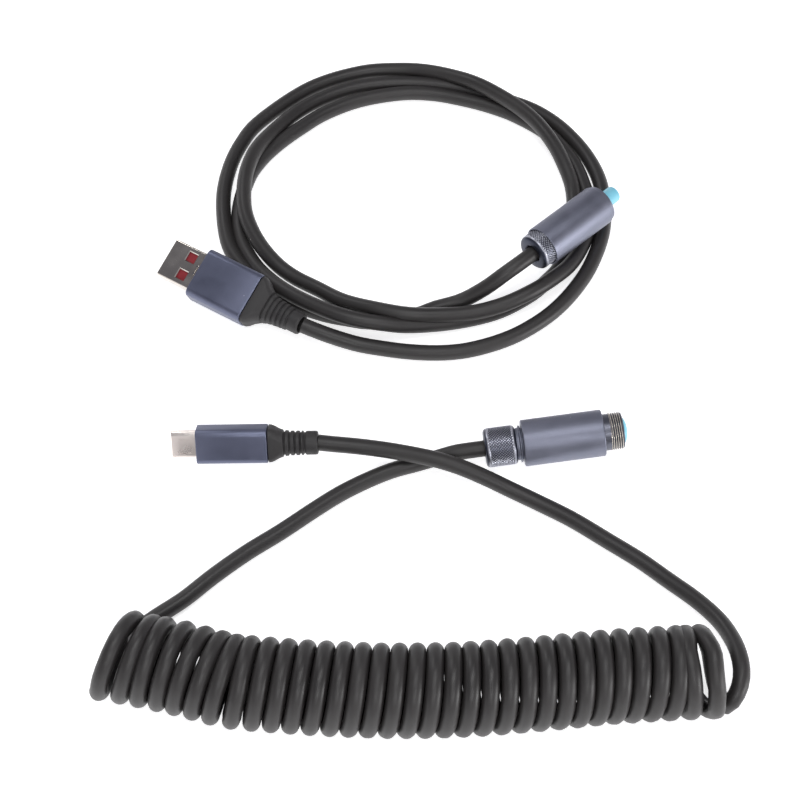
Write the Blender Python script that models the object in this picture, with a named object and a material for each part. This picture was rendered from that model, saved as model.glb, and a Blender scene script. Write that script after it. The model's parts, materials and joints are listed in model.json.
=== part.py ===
"""Two-piece keyboard cable with aviator couplings, laid out on a table.

The host cable runs from a USB-A plug, through a hand coil of loops, to an
aviator connector with a turning sleeve.  The device cable runs from an aviator
connector with an outside thread, through a curly cord, to a USB-C plug.
Every size below is in millimetres and MM turns it into Blender's metres.
World axes: +Z up, X along the curly cord, Y from the curly cord to the loops.
Each connector has its own frame: +X points from its cord to its mating end.
"""
import math

import bmesh
import bpy
from mathutils import Vector

MM = 0.001
GAP = 0.3
ROUND_SIDES = 32
PIN_SIDES = 12

CORD_DIAMETER = 4.5
CORD_BORE_RADIUS = 2.6

# Places of the connectors: origin, then roll, nose-up pitch and heading in degrees.
USB_A_PLACE = ((-54.45, 20.0, 6.0), (-21.0, 0.0, 148.5))
USB_C_PLACE = ((-52.4, -39.1, 5.6), (-56.0, -3.0, 179.0))
HOST_PLACE = ((44.6, 25.2, 12.5), (0.0, 0.0, 42.5))
DEVICE_PLACE = ((26.66, -40.44, 5.59), (0.0, 4.1, 6.4))

# USB-A plug: the origin is the middle of the housing's front face.
USB_A_SHELL = (12.0, 4.5)
USB_A_SHELL_WALL = 0.32
USB_A_SHELL_OUT = 11.3
USB_A_SHELL_IN = 5.0
USB_A_WINDOW = (2.9, 5.7, 2.9, 1.4)
USB_A_HOUSING = (15.4, 8.0)
USB_A_HOUSING_CORNER = 2.0
USB_A_HOUSING_LENGTH = 18.4
USB_A_RELIEF_LENGTH = 16.2
USB_A_RELIEF_END_RADIUS = 3.2
USB_A_CONTACTS = 4
USB_A_CONTACT_PITCH = 2.2

# USB-C plug: the origin is the middle of the housing's front face.
USB_C_SHELL = (8.34, 2.56)
USB_C_SHELL_WALL = 0.3
USB_C_SHELL_OUT = 6.9
USB_C_SHELL_IN = 4.0
USB_C_HOUSING = (10.0, 7.0)
USB_C_HOUSING_CORNER = 1.8
USB_C_HOUSING_LENGTH = 19.6
USB_C_RELIEF_LENGTH = 13.6
USB_C_RELIEF_END_RADIUS = 3.3
USB_C_FINGERS = 6
USB_C_FINGER_PITCH = 1.0

# Gland nut, shared by both aviator connectors; X runs forward from its rear face.
NUT_RADIUS = 5.45
NUT_LENGTH = 8.7
NUT_WALL = 2.2
NUT_CAVITY_RADIUS = 4.65
NUT_CHAMFER = 0.6
WASHER_LENGTH = 0.6
COLLET_REAR = 3.4
COLLET_LENGTH = 4.1
SPIGOT_REAR = 4.5
SPIGOT_RADIUS = 4.35
SPIGOT_BORE_RADIUS = 3.7

# Host connector: the origin is the middle of the sleeve's rear face.
HOST_NUT_REAR = -4.0
SLEEVE_RADIUS = 6.1
SLEEVE_LENGTH = 23.0
SLEEVE_COLLAR_RADIUS = 5.6
SLEEVE_COLLAR_LENGTH = 1.2
SLEEVE_BORE_RADIUS = 5.7
SLEEVE_WEB = (8.6, 10.6)
SLEEVE_WEB_RADIUS = 4.7
SLEEVE_THREAD_RADIUS = 5.3
HOST_FLANGE = (12.6, 14.4)
HOST_FLANGE_RADIUS = 5.25
HOST_SKIRT_END = 21.5
HOST_CAP_RADIUS = 2.5
HOST_CAP_OUT = 6.0

# Device connector: the origin is the middle of the gland nut's rear face.
BARREL_REAR = 10.5
BARREL_LENGTH = 22.3
BARREL_RADIUS = 6.45
BARREL_NECK_RADIUS = 4.5
BARREL_BORE_RADIUS = 5.5
THREAD_RADIUS = 5.2
THREAD_BORE_RADIUS = 4.3
THREAD_SHELL = (27.0, 38.2)
DEVICE_PLUG_RADIUS = 3.6
DEVICE_PLUG = (35.6, 39.0)

CONTACT_COUNT = 4
CONTACT_CIRCLE_RADIUS = 2.1

# Hand coil of the host cable: centre, outer and inner radius, height.
LOOPS_CENTRE = (7.9, 50.0)
LOOPS_RADII = (51.5, 43.0)
LOOPS_HEIGHT = 6.0
LOOPS_CORNER = 2.0

# Curly cord: outer radius and its axis on the table, from its left to its right end.
COIL_RADIUS = 11.9
COIL_AXIS = [(-73.1, -106.9), (-68.2, -108.2), (-54.0, -111.5), (-35.3, -115.2), (-16.6, -117.3),
             (2.0, -118.2), (20.2, -118.0), (38.9, -116.6), (57.8, -114.7), (78.8, -113.3), (81.9, -113.2)]

# Free cord routes, from the connector onwards.
HOST_PLUG_LEAD = [(-24.4, 1.56, 6.0), (-21.0, 0.3, 5.4), (-16.0, -1.1, 4.2), (-9.0, -2.6, 2.7),
                  (-2.3, -3.8, 2.3), (6.0, -5.1, 2.3), (14.8, -5.5, 2.3), (23.0, -4.5, 2.3), (32.0, -1.5, 2.3),
                  (39.5, 2.6, 2.3), (47.5, 9.1, 2.3), (54.4, 17.6, 2.3), (60.0, 27.8, 2.3)]
HOST_CONNECTOR_LEAD = [(47.9, 28.24, 12.5), (43.1, 23.82, 12.5), (38.35, 19.47, 12.5), (33.6, 16.2, 11.2),
                       (28.0, 14.0, 7.4), (21.2, 12.1, 3.8), (13.5, 10.4, 2.4), (3.5, 10.3, 2.3),
                       (-4.6, 11.9, 2.3), (-8.6, 13.6, 2.3)]
DEVICE_PLUG_LEAD = [(-19.0, -39.67, 7.35), (-15.5, -40.1, 7.3), (-11.7, -40.5, 7.3), (-6.0, -41.2, 7.3),
                    (0.5, -42.3, 7.35), (8.0, -44.0, 7.5), (14.3, -45.7, 7.5), (20.5, -47.6, 6.7),
                    (27.0, -49.8, 5.0), (33.5, -52.4, 3.3), (41.4, -56.3, 2.4), (50.0, -61.4, 2.3),
                    (59.5, -68.3, 2.3), (67.5, -74.2, 2.3), (74.5, -80.3, 2.4), (81.4, -86.9, 3.3),
                    (86.5, -94.0, 5.2), (89.2, -101.0, 7.4), (90.2, -107.0, 9.2), (89.4, -112.3, 10.6),
                    (87.6, -116.2, 11.5), (83.9, -116.9, 12.0)]
DEVICE_CONNECTOR_LEAD = [(34.59, -39.54, 6.16), (28.64, -40.21, 5.73), (22.7, -40.88, 5.3), (18.5, -41.35, 4.8),
                         (13.5, -42.1, 3.3), (7.5, -43.6, 2.5), (1.0, -45.6, 2.3), (-6.0, -49.0, 2.3),
                         (-13.0, -53.2, 2.3), (-20.0, -58.4, 2.3), (-28.7, -65.3, 2.3), (-37.6, -71.8, 2.3),
                         (-46.0, -78.9, 2.3), (-53.5, -86.0, 2.3), (-61.0, -91.4, 2.4), (-69.0, -94.6, 3.0),
                         (-76.4, -97.8, 4.2), (-79.9, -101.5, 6.4), (-78.4, -105.4, 8.4), (-74.8, -106.6, 9.2)]


def clear_scene():
    for obj in list(bpy.data.objects):
        bpy.data.objects.remove(obj, do_unlink=True)


def make_material(name, colour, roughness, metallic):
    mat = bpy.data.materials.new(name)
    mat.use_nodes = True
    shader = mat.node_tree.nodes["Principled BSDF"]
    shader.inputs["Base Color"].default_value = (*colour, 1.0)
    shader.inputs["Roughness"].default_value = roughness
    shader.inputs["Metallic"].default_value = metallic
    return mat


def make_frame(name, place):
    origin, angles = place
    roll, pitch, heading = (math.radians(angle) for angle in angles)
    empty = bpy.data.objects.new(name, None)
    empty.location = Vector(origin) * MM
    empty.rotation_euler = (roll, -pitch, heading)
    bpy.context.scene.collection.objects.link(empty)
    return empty


def circle_loop(x, radius, sides=ROUND_SIDES):
    """Points of a circle round the X axis."""
    steps = (2.0 * math.pi * i / sides for i in range(sides))
    return [(x, radius * math.cos(a), radius * math.sin(a)) for a in steps]


def rect_loop(x, width, height, corner, corner_steps=4):
    """Points of a rounded rectangle across the X axis, width along Y and height along Z."""
    points = []
    for quarter in range(4):
        side_y = 1 if quarter in (0, 3) else -1
        side_z = 1 if quarter in (0, 1) else -1
        centre_y = side_y * (width / 2 - corner)
        centre_z = side_z * (height / 2 - corner)
        for step in range(corner_steps + 1):
            angle = math.pi / 2 * (quarter + step / corner_steps)
            points.append((x, centre_y + corner * math.cos(angle), centre_z + corner * math.sin(angle)))
    return points


def skin(loops, ring=False):
    """Join equal loops in order; a ring closes on itself, else both ends are capped."""
    bm = bmesh.new()
    rows = [[bm.verts.new(Vector(point) * MM) for point in loop] for loop in loops]
    pairs = list(zip(rows, rows[1:]))
    if ring:
        pairs.append((rows[-1], rows[0]))
    else:
        bm.faces.new(rows[0])
        bm.faces.new(rows[-1])
    for first, second in pairs:
        count = len(first)
        for i in range(count):
            j = (i + 1) % count
            bm.faces.new((first[i], first[j], second[j], second[i]))
    bmesh.ops.recalc_face_normals(bm, faces=bm.faces)
    return bm


def lathe(profile, ring=False, sides=ROUND_SIDES):
    """Turn (x, radius) points round the X axis."""
    return skin([circle_loop(x, radius, sides) for x, radius in profile], ring)


def plate(outline, low, high, across="z"):
    """Extrude a flat outline between two levels of Z, or of Y where across is y."""
    def place(point, level):
        if across == "z":
            return (point[0], point[1], level)
        return (point[0], level, point[1])
    return skin([[place(point, low) for point in outline], [place(point, high) for point in outline]])


def box(low, high):
    outline = [(low[0], low[1]), (high[0], low[1]), (high[0], high[1]), (low[0], high[1])]
    return plate(outline, low[2], high[2])


def merge(parts):
    """Put several bmeshes into one, for cutters."""
    whole = bmesh.new()
    for part in parts:
        mesh = bpy.data.meshes.new("scratch")
        part.to_mesh(mesh)
        part.free()
        whole.from_mesh(mesh)
        bpy.data.meshes.remove(mesh)
    return whole


def add_object(name, bm, mat, parent=None):
    mesh = bpy.data.meshes.new(name)
    bm.to_mesh(mesh)
    bm.free()
    mesh.materials.append(mat)
    mesh.shade_smooth()
    mesh.set_sharp_from_angle(angle=math.radians(35))
    obj = bpy.data.objects.new(name, mesh)
    obj.parent = parent
    bpy.context.scene.collection.objects.link(obj)
    return obj


def cut(target, cutter_bm):
    """Take a hidden cutter away from an object."""
    mesh = bpy.data.meshes.new(target.name + "_cutter")
    cutter_bm.to_mesh(mesh)
    cutter_bm.free()
    cutter = bpy.data.objects.new(mesh.name, mesh)
    cutter.parent = target.parent
    cutter.hide_render = True
    cutter.display_type = "WIRE"
    bpy.context.scene.collection.objects.link(cutter)
    modifier = target.modifiers.new("cut", "BOOLEAN")
    modifier.operation = "DIFFERENCE"
    modifier.solver = "EXACT"
    modifier.object = cutter


def smooth_route(points, spacing):
    """Read a Catmull-Rom curve through the route's points at an even spacing."""
    route = [Vector(point) for point in points]
    route = [2 * route[0] - route[1]] + route + [2 * route[-1] - route[-2]]
    dense = []
    for a, b, c, d in zip(route, route[1:], route[2:], route[3:]):
        for step in range(20):
            t = step / 20
            dense.append(0.5 * (2 * b + (c - a) * t + (2 * a - 5 * b + 4 * c - d) * t ** 2
                                + (3 * b - a - 3 * c + d) * t ** 3))
    dense.append(route[-2])
    length = sum((q - p).length for p, q in zip(dense, dense[1:]))
    count = max(2, round(length / spacing))
    wanted = [length * i / count for i in range(count + 1)]
    samples = [dense[0]]
    travelled = 0.0
    for p, q in zip(dense, dense[1:]):
        stretch = (q - p).length
        while len(samples) < count and travelled + stretch >= wanted[len(samples)]:
            samples.append(p.lerp(q, (wanted[len(samples)] - travelled) / stretch))
        travelled += stretch
    samples.append(dense[-1])
    return samples


def add_tube(name, points, radius, mat, resolution):
    """A capped tube as a curve object along the given points."""
    curve = bpy.data.curves.new(name, "CURVE")
    curve.dimensions = "3D"
    curve.bevel_depth = radius * MM
    curve.bevel_resolution = resolution
    curve.use_fill_caps = True
    spline = curve.splines.new("POLY")
    spline.points.add(len(points) - 1)
    for spot, point in zip(spline.points, points):
        spot.co = (*(Vector(point) * MM), 1.0)
    curve.materials.append(mat)
    obj = bpy.data.objects.new(name, curve)
    bpy.context.scene.collection.objects.link(obj)
    return obj


def build_usb_a(mats):
    """USB-A plug, from its shell back to its strain relief."""
    frame = make_frame("usb_a_frame", USB_A_PLACE)
    width, height = USB_A_SHELL
    wall = USB_A_SHELL_WALL
    nose = USB_A_SHELL_OUT
    inner_width = width - 2 * wall
    inner_height = height - 2 * wall
    shell_loops = [
        rect_loop(nose, width, height, 0.6),
        rect_loop(-USB_A_SHELL_IN, width, height, 0.6),
        rect_loop(-USB_A_SHELL_IN, inner_width, inner_height, 0.3),
        rect_loop(nose, inner_width, inner_height, 0.3),
    ]
    shell = add_object("usb_a_shell", skin(shell_loops, ring=True), mats["nickel"], frame)
    near, far, offset, half = USB_A_WINDOW
    windows = [box((near, side * offset - half, -height), (far, side * offset + half, height)) for side in (-1, 1)]
    cut(shell, merge(windows))

    tongue_top = inner_height / 2 - GAP
    tongue_half = inner_width / 2 - GAP
    outline = [(-4.4, -tongue_top), (-0.4, -tongue_top), (-0.4, 0.1), (nose - 0.4, 0.1),
               (nose - 0.4, tongue_top), (-4.4, tongue_top)]
    add_object("usb_a_tongue", plate(outline, -tongue_half, tongue_half, across="y"), mats["red"], frame)
    for index in range(USB_A_CONTACTS):
        centre = (index - (USB_A_CONTACTS - 1) / 2) * USB_A_CONTACT_PITCH
        contact = box((0.2, centre - 0.5, -0.45), (nose - 1.6, centre + 0.5, -0.2))
        add_object("usb_a_contact_%d" % (index + 1), contact, mats["gold"], frame)

    add_object("usb_a_board", box((-13.0, -5.0, -0.4), (-5.6, 5.0, 0.4)), mats["board"], frame)
    rear = -USB_A_HOUSING_LENGTH
    block = skin([rect_loop(-5.3, 12.6, 5.6, 1.0), rect_loop(rear + 1.5, 12.6, 5.6, 1.0)])
    block_object = add_object("usb_a_inner_block", block, mats["moulding"], frame)
    cut(block_object, box((-13.4, -5.4, -0.8), (-4.0, 5.4, 0.8)))

    width, height = USB_A_HOUSING
    corner = USB_A_HOUSING_CORNER
    slot = (USB_A_SHELL[0] + 2 * GAP, USB_A_SHELL[1] + 2 * GAP)
    housing_loops = [
        rect_loop(rear, width, height, corner),
        rect_loop(0.0, width, height, corner),
        rect_loop(0.0, slot[0], slot[1], 0.8),
        rect_loop(-1.2, slot[0], slot[1], 0.8),
        rect_loop(-1.2, 13.2, 6.2, 1.2),
        rect_loop(rear, 13.2, 6.2, 1.2),
    ]
    add_object("usb_a_housing", skin(housing_loops, ring=True), mats["slate"], frame)

    end = rear - USB_A_RELIEF_LENGTH
    radius = USB_A_RELIEF_END_RADIUS
    relief_loops = [
        rect_loop(rear + 1.2, 12.6, 5.6, 1.2),
        rect_loop(rear - GAP, 12.6, 5.6, 1.2),
        rect_loop(rear - GAP, 15.0, 7.6, 2.0),
        rect_loop(rear - 1.5, 14.8, 7.6, 2.4),
        rect_loop(rear - 4.0, 10.6, 7.2, 3.0),
        rect_loop(rear - 8.0, 8.0, 6.8, 3.2),
        rect_loop(end + 3.0, 2 * radius, 2 * radius, radius),
        rect_loop(end, 2 * radius, 2 * radius, radius),
    ]
    add_object("usb_a_strain_relief", skin(relief_loops), mats["relief"], frame)


def comb(tip, rear, low, high):
    """A strip of spring contacts joined at the back."""
    outline = [(rear, -USB_C_FINGERS / 2 * USB_C_FINGER_PITCH), (rear, USB_C_FINGERS / 2 * USB_C_FINGER_PITCH)]
    for index in range(USB_C_FINGERS):
        edge = (USB_C_FINGERS / 2 - index) * USB_C_FINGER_PITCH
        outline += [(tip, edge), (tip, edge - 0.5)]
        if index < USB_C_FINGERS - 1:
            outline += [(rear + 0.8, edge - 0.5), (rear + 0.8, edge - USB_C_FINGER_PITCH)]
    outline.append((rear + 0.8, -USB_C_FINGERS / 2 * USB_C_FINGER_PITCH + 0.5))
    outline.append((rear + 0.8, -USB_C_FINGERS / 2 * USB_C_FINGER_PITCH))
    return plate(outline, low, high)


def build_usb_c(mats):
    """USB-C plug, from its shell back to its strain relief."""
    frame = make_frame("usb_c_frame", USB_C_PLACE)
    width, height = USB_C_SHELL
    wall = USB_C_SHELL_WALL
    nose = USB_C_SHELL_OUT
    inner = (width - 2 * wall, height - 2 * wall)
    shell_loops = [
        rect_loop(nose, width, height, height / 2),
        rect_loop(-USB_C_SHELL_IN, width, height, height / 2),
        rect_loop(-USB_C_SHELL_IN, inner[0], inner[1], inner[1] / 2),
        rect_loop(nose, inner[0], inner[1], inner[1] / 2),
    ]
    add_object("usb_c_shell", skin(shell_loops, ring=True), mats["champagne"], frame)
    core = (inner[0] - 2 * GAP, inner[1] - 2 * GAP)
    add_object("usb_c_insulator", skin([rect_loop(-3.4, *core, 0.5), rect_loop(1.4, *core, 0.5)]),
               mats["moulding"], frame)
    add_object("usb_c_upper_contacts", comb(nose - 1.0, 1.7, 0.45, 0.68), mats["gold"], frame)
    add_object("usb_c_lower_contacts", comb(nose - 1.0, 1.7, -0.68, -0.45), mats["gold"], frame)
    for name, side in (("left", 1), ("right", -1)):
        edges = sorted((side * 3.35, side * 3.55))
        latch = box((1.7, edges[0], -0.35), (nose - 1.0, edges[1], 0.35))
        add_object("usb_c_%s_latch" % name, latch, mats["champagne"], frame)

    rear = -USB_C_HOUSING_LENGTH
    add_object("usb_c_board", box((-12.0, -3.2, -0.4), (-4.4, 3.2, 0.4)), mats["board"], frame)
    block = skin([rect_loop(-4.3, 8.0, 4.8, 1.0), rect_loop(rear + 1.5, 8.0, 4.8, 1.0)])
    block_object = add_object("usb_c_inner_block", block, mats["moulding"], frame)
    cut(block_object, box((-12.4, -3.5, -0.8), (-4.0, 3.5, 0.8)))

    width, height = USB_C_HOUSING
    corner = USB_C_HOUSING_CORNER
    slot = (USB_C_SHELL[0] + 0.4, USB_C_SHELL[1] + 0.4)
    housing_loops = [
        rect_loop(rear, width, height, corner),
        rect_loop(0.0, width, height, corner),
        rect_loop(0.0, slot[0], slot[1], slot[1] / 2),
        rect_loop(-1.2, slot[0], slot[1], slot[1] / 2),
        rect_loop(-1.2, 8.74, 5.4, 1.2),
        rect_loop(rear, 8.74, 5.4, 1.2),
    ]
    add_object("usb_c_housing", skin(housing_loops, ring=True), mats["slate"], frame)

    end = rear - USB_C_RELIEF_LENGTH
    radius = USB_C_RELIEF_END_RADIUS
    relief_loops = [
        rect_loop(rear + 1.2, 8.0, 4.8, 1.0),
        rect_loop(rear - GAP, 8.0, 4.8, 1.0),
        rect_loop(rear - GAP, 9.8, 6.8, 1.8),
        rect_loop(rear - 1.6, 9.6, 6.8, 2.2),
        rect_loop(rear - 4.2, 6.8, 6.2, 2.9),
        rect_loop(end + 3.0, 2 * radius, 2 * radius, radius),
        rect_loop(end, 2 * radius, 2 * radius, radius),
    ]
    add_object("usb_c_strain_relief", skin(relief_loops), mats["relief"], frame)


def build_gland(prefix, frame, rear, mats):
    """Gland nut, thrust washer and split clamp round the cord; rear is the nut's rear face."""
    nut_profile = [
        (rear, NUT_RADIUS - NUT_CHAMFER),
        (rear + NUT_CHAMFER, NUT_RADIUS),
        (rear + NUT_LENGTH - NUT_CHAMFER, NUT_RADIUS),
        (rear + NUT_LENGTH, NUT_RADIUS - NUT_CHAMFER),
        (rear + NUT_LENGTH, NUT_CAVITY_RADIUS),
        (rear + NUT_WALL, NUT_CAVITY_RADIUS),
        (rear + NUT_WALL, CORD_BORE_RADIUS),
        (rear, CORD_BORE_RADIUS),
    ]
    add_object(prefix + "_gland_nut", lathe(nut_profile, ring=True), mats["gunmetal"], frame)
    washer_rear = rear + NUT_WALL + GAP
    washer_front = washer_rear + WASHER_LENGTH
    outer = NUT_CAVITY_RADIUS - GAP
    washer_profile = [(washer_rear, outer), (washer_front, outer), (washer_front, CORD_BORE_RADIUS),
                      (washer_rear, CORD_BORE_RADIUS)]
    add_object(prefix + "_thrust_washer", lathe(washer_profile, ring=True), mats["nickel"], frame)

    flange_front = rear + SPIGOT_REAR - GAP
    collet_rear = rear + COLLET_REAR
    collet_front = collet_rear + COLLET_LENGTH
    body = SPIGOT_BORE_RADIUS - GAP
    clamp_profile = [(collet_rear, outer), (flange_front, outer), (flange_front, body), (collet_front, body),
                     (collet_front, CORD_BORE_RADIUS), (collet_rear, CORD_BORE_RADIUS)]
    clamp = add_object(prefix + "_cord_clamp", lathe(clamp_profile, ring=True), mats["moulding"], frame)
    cut(clamp, box((collet_rear - 1.0, -0.3, 0.0), (collet_front + 1.0, 0.3, 6.0)))


def contact_places():
    for index in range(CONTACT_COUNT):
        angle = 2 * math.pi * (index + 0.5) / CONTACT_COUNT
        yield index + 1, CONTACT_CIRCLE_RADIUS * math.cos(angle), CONTACT_CIRCLE_RADIUS * math.sin(angle)


def shifted(bm, y, z):
    bmesh.ops.translate(bm, verts=bm.verts, vec=Vector((0.0, y, z)) * MM)
    return bm


def build_insert(name, frame, span, radius, hole_radius, mats):
    """Insulator with one hole for each contact."""
    insert = add_object(name, lathe([(span[0], radius), (span[1], radius)]), mats["moulding"], frame)
    hole = [(span[0] - 1.0, hole_radius), (span[1] + 1.0, hole_radius)]
    cut(insert, merge([shifted(lathe(hole, sides=PIN_SIDES), y, z) for _, y, z in contact_places()]))


def build_host_connector(mats):
    """Aviator connector with the turning sleeve."""
    frame = make_frame("host_connector_frame", HOST_PLACE)
    build_gland("host", frame, HOST_NUT_REAR, mats)

    spigot_rear = HOST_NUT_REAR + SPIGOT_REAR
    body_profile = [
        (spigot_rear, SPIGOT_RADIUS),
        (HOST_FLANGE[0], SPIGOT_RADIUS),
        (HOST_FLANGE[0], HOST_FLANGE_RADIUS),
        (HOST_FLANGE[1], HOST_FLANGE_RADIUS),
        (HOST_FLANGE[1], 4.6),
        (HOST_SKIRT_END, 4.6),
        (HOST_SKIRT_END, 3.9),
        (13.5, 3.9),
        (13.5, 3.0),
        (5.0, 3.0),
        (5.0, SPIGOT_BORE_RADIUS),
        (spigot_rear, SPIGOT_BORE_RADIUS),
    ]
    add_object("host_body", lathe(body_profile, ring=True), mats["gunmetal"], frame)

    front = SLEEVE_LENGTH
    sleeve_profile = [
        (0.0, SLEEVE_RADIUS - 0.2),
        (0.3, SLEEVE_RADIUS),
        (front - 0.3, SLEEVE_RADIUS),
        (front, SLEEVE_RADIUS - 0.3),
        (front, SLEEVE_COLLAR_RADIUS),
        (front + SLEEVE_COLLAR_LENGTH, SLEEVE_COLLAR_RADIUS),
        (front + SLEEVE_COLLAR_LENGTH, SLEEVE_THREAD_RADIUS),
        (16.0, SLEEVE_THREAD_RADIUS),
        (16.0, SLEEVE_BORE_RADIUS),
        (SLEEVE_WEB[1], SLEEVE_BORE_RADIUS),
        (SLEEVE_WEB[1], SLEEVE_WEB_RADIUS),
        (SLEEVE_WEB[0], SLEEVE_WEB_RADIUS),
        (SLEEVE_WEB[0], SLEEVE_BORE_RADIUS),
        (0.0, SLEEVE_BORE_RADIUS),
    ]
    add_object("host_sleeve", lathe(sleeve_profile, ring=True), mats["gunmetal"], frame)
    ring_rear = SLEEVE_WEB[1] + GAP
    ring_profile = [(ring_rear, SLEEVE_BORE_RADIUS - GAP), (ring_rear + 0.6, SLEEVE_BORE_RADIUS - GAP),
                    (ring_rear + 0.6, SLEEVE_WEB_RADIUS), (ring_rear, SLEEVE_WEB_RADIUS)]
    add_object("host_slip_ring", lathe(ring_profile, ring=True), mats["nickel"], frame)

    build_insert("host_pin_insert", frame, (13.8, 17.2), 3.6, 0.75, mats)
    for number, y, z in contact_places():
        pin = shifted(lathe([(12.6, 0.45), (19.6, 0.45), (20.2, 0.2)], sides=PIN_SIDES), y, z)
        add_object("host_pin_%d" % number, pin, mats["gold"], frame)

    nose = front + SLEEVE_COLLAR_LENGTH + HOST_CAP_OUT
    cap_profile = [(20.6, 3.5), (21.6, 3.5), (21.6, HOST_CAP_RADIUS), (nose - 0.6, HOST_CAP_RADIUS),
                   (nose, HOST_CAP_RADIUS - 0.6)]
    add_object("host_dust_cap", lathe(cap_profile), mats["cyan"], frame)


def build_device_connector(mats):
    """Aviator connector with the outside thread."""
    frame = make_frame("device_connector_frame", DEVICE_PLACE)
    build_gland("device", frame, 0.0, mats)

    front = BARREL_REAR + BARREL_LENGTH
    barrel_profile = [
        (SPIGOT_REAR, SPIGOT_RADIUS),
        (NUT_LENGTH + GAP, SPIGOT_RADIUS),
        (NUT_LENGTH + GAP, BARREL_NECK_RADIUS),
        (BARREL_REAR, BARREL_NECK_RADIUS),
        (BARREL_REAR, BARREL_RADIUS - 0.3),
        (BARREL_REAR + 0.3, BARREL_RADIUS),
        (front - 0.3, BARREL_RADIUS),
        (front, BARREL_RADIUS - 0.3),
        (front, BARREL_BORE_RADIUS),
        (12.5, BARREL_BORE_RADIUS),
        (12.5, 3.0),
        (9.0, 3.0),
        (9.0, SPIGOT_BORE_RADIUS),
        (SPIGOT_REAR, SPIGOT_BORE_RADIUS),
    ]
    add_object("device_barrel", lathe(barrel_profile, ring=True), mats["gunmetal"], frame)

    rear, nose = THREAD_SHELL
    thread_profile = [(rear, THREAD_RADIUS), (nose - 0.3, THREAD_RADIUS), (nose, THREAD_RADIUS - 0.3),
                      (nose, THREAD_BORE_RADIUS), (rear, THREAD_BORE_RADIUS)]
    add_object("device_thread_shell", lathe(thread_profile, ring=True), mats["gunmetal"], frame)

    build_insert("device_socket_insert", frame, (28.0, 35.2), 4.0, 1.05, mats)
    for number, y, z in contact_places():
        profile = [(26.5, 0.75), (35.0, 0.75), (35.0, 0.45), (30.0, 0.45), (30.0, 0.2), (26.5, 0.2)]
        socket = shifted(lathe(profile, ring=True, sides=PIN_SIDES), y, z)
        add_object("device_socket_%d" % number, socket, mats["gold"], frame)

    rear, nose = DEVICE_PLUG
    plug_profile = [(rear, DEVICE_PLUG_RADIUS), (nose - 0.6, DEVICE_PLUG_RADIUS),
                    (nose - 0.2, DEVICE_PLUG_RADIUS - 0.5), (nose, DEVICE_PLUG_RADIUS - 1.4)]
    add_object("device_dust_plug", lathe(plug_profile), mats["cyan"], frame)


def build_loops(mats):
    """The host cable's hand coil as one turned ring lying on the table."""
    outer, inner = LOOPS_RADII
    middle = (outer + inner) / 2
    section = rect_loop(0.0, outer - inner, LOOPS_HEIGHT, LOOPS_CORNER, corner_steps=2)
    loops = []
    for i in range(64):
        angle = 2 * math.pi * i / 64
        loops.append([(
            LOOPS_CENTRE[0] + (middle + y) * math.cos(angle),
            LOOPS_CENTRE[1] + (middle + y) * math.sin(angle),
            LOOPS_HEIGHT / 2 + z,
        ) for _, y, z in section])
    add_object("host_cord_loops", skin(loops, ring=True), mats["cord"])


def build_cords(mats):
    """Every free stretch of cord, and the curly cord as one fat tube."""
    radius = CORD_DIAMETER / 2
    spacing = 2.4 * CORD_DIAMETER
    leads = (
        ("host_cord_plug_lead", HOST_PLUG_LEAD),
        ("host_cord_connector_lead", HOST_CONNECTOR_LEAD),
        ("device_cord_plug_lead", DEVICE_PLUG_LEAD),
        ("device_cord_connector_lead", DEVICE_CONNECTOR_LEAD),
    )
    for name, points in leads:
        add_tube(name, smooth_route(points, spacing), radius, mats["cord"], resolution=3)
    axis = [(x, y, COIL_RADIUS + 0.05) for x, y in COIL_AXIS]
    add_tube("device_cord_coil", smooth_route(axis, 9.0), COIL_RADIUS, mats["cord"], resolution=4)


def main():
    clear_scene()
    mats = {
        "slate": make_material("slate_anodised", (0.13, 0.14, 0.22), 0.42, 0.9),
        "gunmetal": make_material("gunmetal_blasted", (0.19, 0.20, 0.25), 0.45, 0.9),
        "nickel": make_material("nickel_plate", (0.62, 0.60, 0.57), 0.18, 1.0),
        "champagne": make_material("champagne_plate", (0.72, 0.64, 0.58), 0.25, 1.0),
        "gold": make_material("gold_contact", (0.83, 0.62, 0.28), 0.25, 1.0),
        "red": make_material("red_insulator", (0.35, 0.02, 0.03), 0.45, 0.0),
        "cyan": make_material("cyan_cap", (0.24, 0.63, 0.78), 0.35, 0.0),
        "moulding": make_material("dark_moulding", (0.03, 0.03, 0.035), 0.55, 0.0),
        "board": make_material("circuit_board", (0.02, 0.16, 0.08), 0.5, 0.0),
        "relief": make_material("black_relief", (0.022, 0.021, 0.022), 0.6, 0.0),
        "cord": make_material("black_cord", (0.025, 0.024, 0.024), 0.5, 0.0),
    }
    build_usb_a(mats)
    build_usb_c(mats)
    build_host_connector(mats)
    build_device_connector(mats)
    build_loops(mats)
    build_cords(mats)


main()
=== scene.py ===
"""Looks of the two-piece keyboard cable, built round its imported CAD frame.

Every length is in metres.  A connector's own frame has +X from its cord to its mating end.
"""

import json
import math

import bmesh
import bpy
from mathutils import Euler, Matrix, Vector


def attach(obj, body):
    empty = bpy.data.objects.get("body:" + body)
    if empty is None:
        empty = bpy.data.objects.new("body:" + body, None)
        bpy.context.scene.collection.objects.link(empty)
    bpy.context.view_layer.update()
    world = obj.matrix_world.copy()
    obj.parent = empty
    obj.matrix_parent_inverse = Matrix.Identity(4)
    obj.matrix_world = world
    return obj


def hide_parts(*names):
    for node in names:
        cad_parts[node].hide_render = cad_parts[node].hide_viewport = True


# Camera: where it looks on the table, how steeply, from how far, and its lens.
CAMERA_TARGET = (0.0034, -0.0203, 0.0)
CAMERA_ELEVATION = 55.0
CAMERA_DISTANCE = 0.6067
CAMERA_LENS = 96.75

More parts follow.
